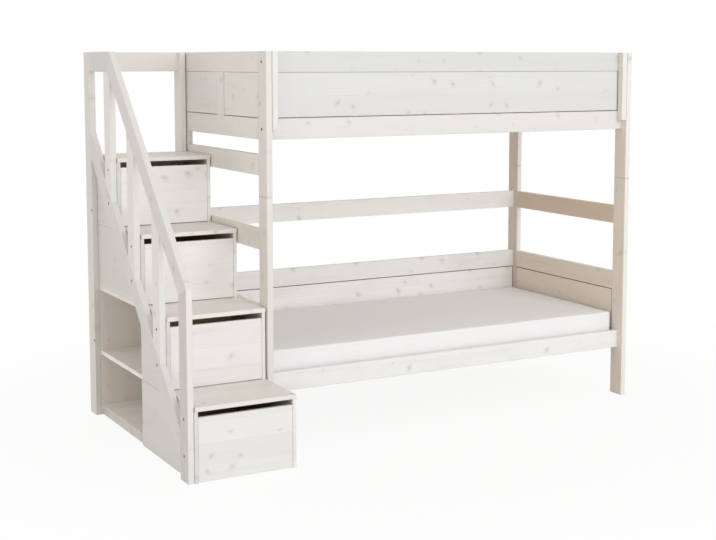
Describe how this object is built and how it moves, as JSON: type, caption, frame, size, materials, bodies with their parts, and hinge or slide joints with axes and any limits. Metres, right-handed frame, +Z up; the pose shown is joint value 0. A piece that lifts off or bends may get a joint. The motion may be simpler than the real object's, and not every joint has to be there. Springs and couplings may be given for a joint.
{
  "type": "bunk bed with stairs",
  "caption": "Bunk bed of whitewashed pine with slatted bases, panelled guards and mattresses, and a drawer staircase with a sloping banister and an open bookcase at one end.",
  "frame": {"origin": "middle of the whole object's outline on the floor", "axes": "+X along the bed away from the stairs, +Y from the front to the back, +Z up"},
  "size_m": [2.5724, 1.3344, 1.794],
  "materials": {
    "pine": "whitewashed pine with visible grain and knots under a matt glaze",
    "raw_pine": "untreated sanded pine",
    "drawer_plywood": "sanded birch plywood",
    "mattress_cover": "white knitted cotton cover",
    "dark_steel": "dark zinc plating"
  },
  "bodies": {
    "frame": {"balusters": "pine", "banister_front_post": "pine", "banister_top_rail": "pine", "barrel_nuts": "dark_steel", "bookcase_boards": "pine", "dowels": "raw_pine", "front_battens": "pine", "handrail": "pine", "joining_hardware": "dark_steel", "ledgers": "raw_pine", "left_side_panels": "pine", "lower_end_bottom_rails": "pine", "lower_end_guard_rails": "pine", "lower_end_panel_rails": "pine", "lower_end_panels": "pine", "lower_front_rail": "pine", "lower_mattress": "mattress_cover", "lower_post_front_left": "pine", "lower_post_front_right": "pine", "lower_post_rear_left": "pine", "lower_post_rear_right": "pine", "lower_slats": "raw_pine", "rail_bolts": "dark_steel", "rear_bottom_rail": "pine", "rear_guard_rail": "pine", "rear_panel": "pine", "rear_panel_rail": "pine", "right_side_panels": "pine", "stair_back_panel": "pine", "stair_bolts": "dark_steel", "stair_post_left": "pine", "stair_post_right": "pine", "stair_rear_rail": "pine", "step_rail": "pine", "stringer": "pine", "treads": "pine", "upper_end_bottom_rails": "pine", "upper_end_panels": "pine", "upper_end_stiles": "pine", "upper_end_top_rails": "pine", "upper_front_bottom_rail": "pine", "upper_front_panel": "pine", "upper_front_top_rail": "pine", "upper_mattress": "mattress_cover", "upper_post_front_left": "pine", "upper_post_front_right": "pine", "upper_post_rear_left": "pine", "upper_post_rear_right": "pine", "upper_rear_bottom_rail": "pine", "upper_rear_panel": "pine", "upper_rear_top_rail": "pine", "upper_slats": "raw_pine"},
    "drawer_1": {"drawer_1_front": "pine", "drawer_1_box": "drawer_plywood"},
    "drawer_2": {"drawer_2_front": "pine", "drawer_2_box": "drawer_plywood"},
    "drawer_3": {"drawer_3_front": "pine", "drawer_3_box": "drawer_plywood"},
    "drawer_4": {"drawer_4_front": "pine", "drawer_4_box": "drawer_plywood"}
  },
  "joints": [
    {"name": "drawer_1_slide", "type": "slide", "parent": "frame", "child": "drawer_1", "axis": [0, -1, 0], "range_m": [0, 0.45]},
    {"name": "drawer_2_slide", "type": "slide", "parent": "frame", "child": "drawer_2", "axis": [0, -1, 0], "range_m": [0, 0.2]},
    {"name": "drawer_3_slide", "type": "slide", "parent": "frame", "child": "drawer_3", "axis": [0, -1, 0], "range_m": [0, 0.45]},
    {"name": "drawer_4_slide", "type": "slide", "parent": "frame", "child": "drawer_4", "axis": [0, -1, 0], "range_m": [0, 0.2]}
  ]
}
